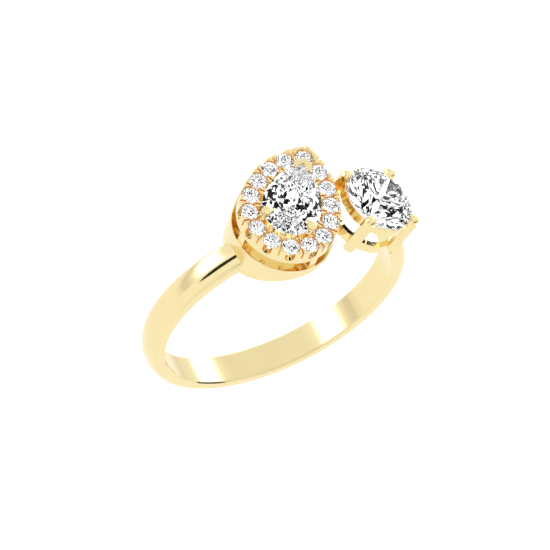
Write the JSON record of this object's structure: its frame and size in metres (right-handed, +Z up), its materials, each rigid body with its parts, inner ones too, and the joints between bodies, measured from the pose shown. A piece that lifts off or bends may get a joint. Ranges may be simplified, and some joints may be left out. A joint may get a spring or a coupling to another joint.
{
  "type": "toi et moi ring",
  "caption": "Polished gold finger ring with a pear cut stone in a halo beside a round stone on four posts",
  "frame": {"origin": "centre of the finger hole, in the middle of the band's width", "axes": "+Z up, the ring lies on its side; +Y across the ring towards the stones; +X towards the round head"},
  "size_m": [0.0188, 0.0213, 0.0083],
  "materials": {
    "gold": "polished yellow gold",
    "diamond": "cut and polished, colourless"
  },
  "bodies": {
    "root": {"gold_mount": "gold", "pear_stone": "diamond", "round_stone": "diamond", "halo_stone_01": "diamond", "halo_stone_02": "diamond", "halo_stone_03": "diamond", "halo_stone_04": "diamond", "halo_stone_05": "diamond", "halo_stone_06": "diamond", "halo_stone_07": "diamond", "halo_stone_08": "diamond", "halo_stone_09": "diamond", "halo_stone_10": "diamond", "halo_stone_11": "diamond", "halo_stone_12": "diamond", "halo_stone_13": "diamond", "halo_stone_14": "diamond", "halo_stone_15": "diamond"}
  },
  "joints": []
}
